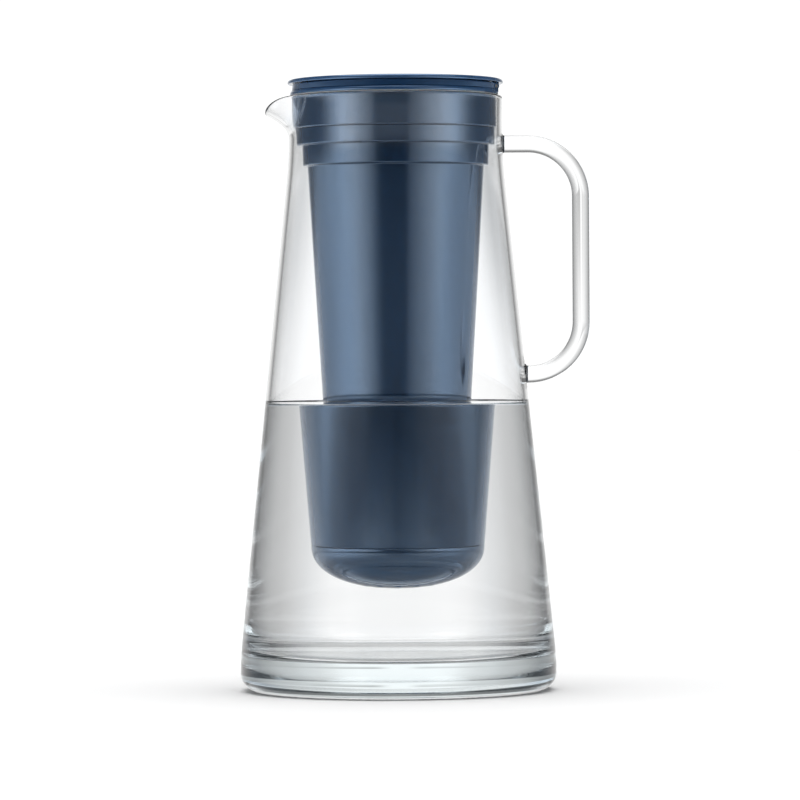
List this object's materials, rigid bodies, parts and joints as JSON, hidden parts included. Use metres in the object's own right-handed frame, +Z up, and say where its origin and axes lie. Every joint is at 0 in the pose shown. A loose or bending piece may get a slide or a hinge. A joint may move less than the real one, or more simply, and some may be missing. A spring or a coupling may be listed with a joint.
{
  "type": "water filter pitcher",
  "caption": "Tall tapered glass pitcher with a poured lip and rod handle, a hanging filter hopper with membrane and carbon stages, and a hinged flip lid.",
  "frame": {"origin": "where the jug's axis meets the table, in the middle of the flat underside of the base", "axes": "+Z up along the jug's axis, +X towards the handle, -X towards the spout"},
  "size_m": [0.1572, 0.1414, 0.2729],
  "materials": {
    "clear_glass": "clear, smooth blown borosilicate glass",
    "blue_plastic": "smooth slate blue moulded plastic with a soft gloss",
    "silicone": "matt translucent grey silicone",
    "steel_pin": "ground stainless steel",
    "white_plastic": "white food grade moulded plastic",
    "resin": "cast amber resin",
    "fibre": "white hollow fibre",
    "felt": "white needled felt",
    "granules": "black activated carbon granules"
  },
  "bodies": {
    "jug": {"glass_jug": "clear_glass", "glass_handle": "clear_glass"},
    "insert": {"hopper": "blue_plastic", "hopper_floor": "blue_plastic", "hopper_seal": "silicone"},
    "ring": {"lid_ring": "blue_plastic", "neck_gasket": "silicone", "hinge_pin": "steel_pin"},
    "lid": {"flip_lid": "blue_plastic", "lid_seal": "silicone"},
    "cartridge": {"membrane_base": "white_plastic", "membrane_case": "white_plastic", "membrane_cap": "white_plastic", "potting_disc": "resin", "fibre_bundle": "fibre", "spigot_seals": "silicone"},
    "cup": {"filter_cup": "blue_plastic", "cup_seal": "silicone", "pod_basket": "white_plastic", "bottom_pad": "felt", "carbon_media": "granules", "top_pad": "felt", "pod_lid": "white_plastic"}
  },
  "joints": [
    {"name": "insert_lift", "type": "slide", "parent": "jug", "child": "insert", "axis": [0, 0, 1], "range_m": [0, 0.23]},
    {"name": "ring_lift", "type": "slide", "parent": "insert", "child": "ring", "axis": [0, 0, 1], "range_m": [0, 0.04]},
    {"name": "lid_flip", "type": "hinge", "parent": "ring", "child": "lid", "pos_m": [0.0449, 0, 0.2694], "axis": [0, 1, 0], "range_deg": [0, 95]},
    {"name": "cartridge_twist", "type": "hinge", "parent": "insert", "child": "cartridge", "pos_m": [0, 0, 0.1], "axis": [0, 0, 1], "range_deg": [0, 30]},
    {"name": "cup_twist", "type": "hinge", "parent": "insert", "child": "cup", "pos_m": [0, 0, 0.07], "axis": [0, 0, 1], "range_deg": [0, 30]}
  ]
}
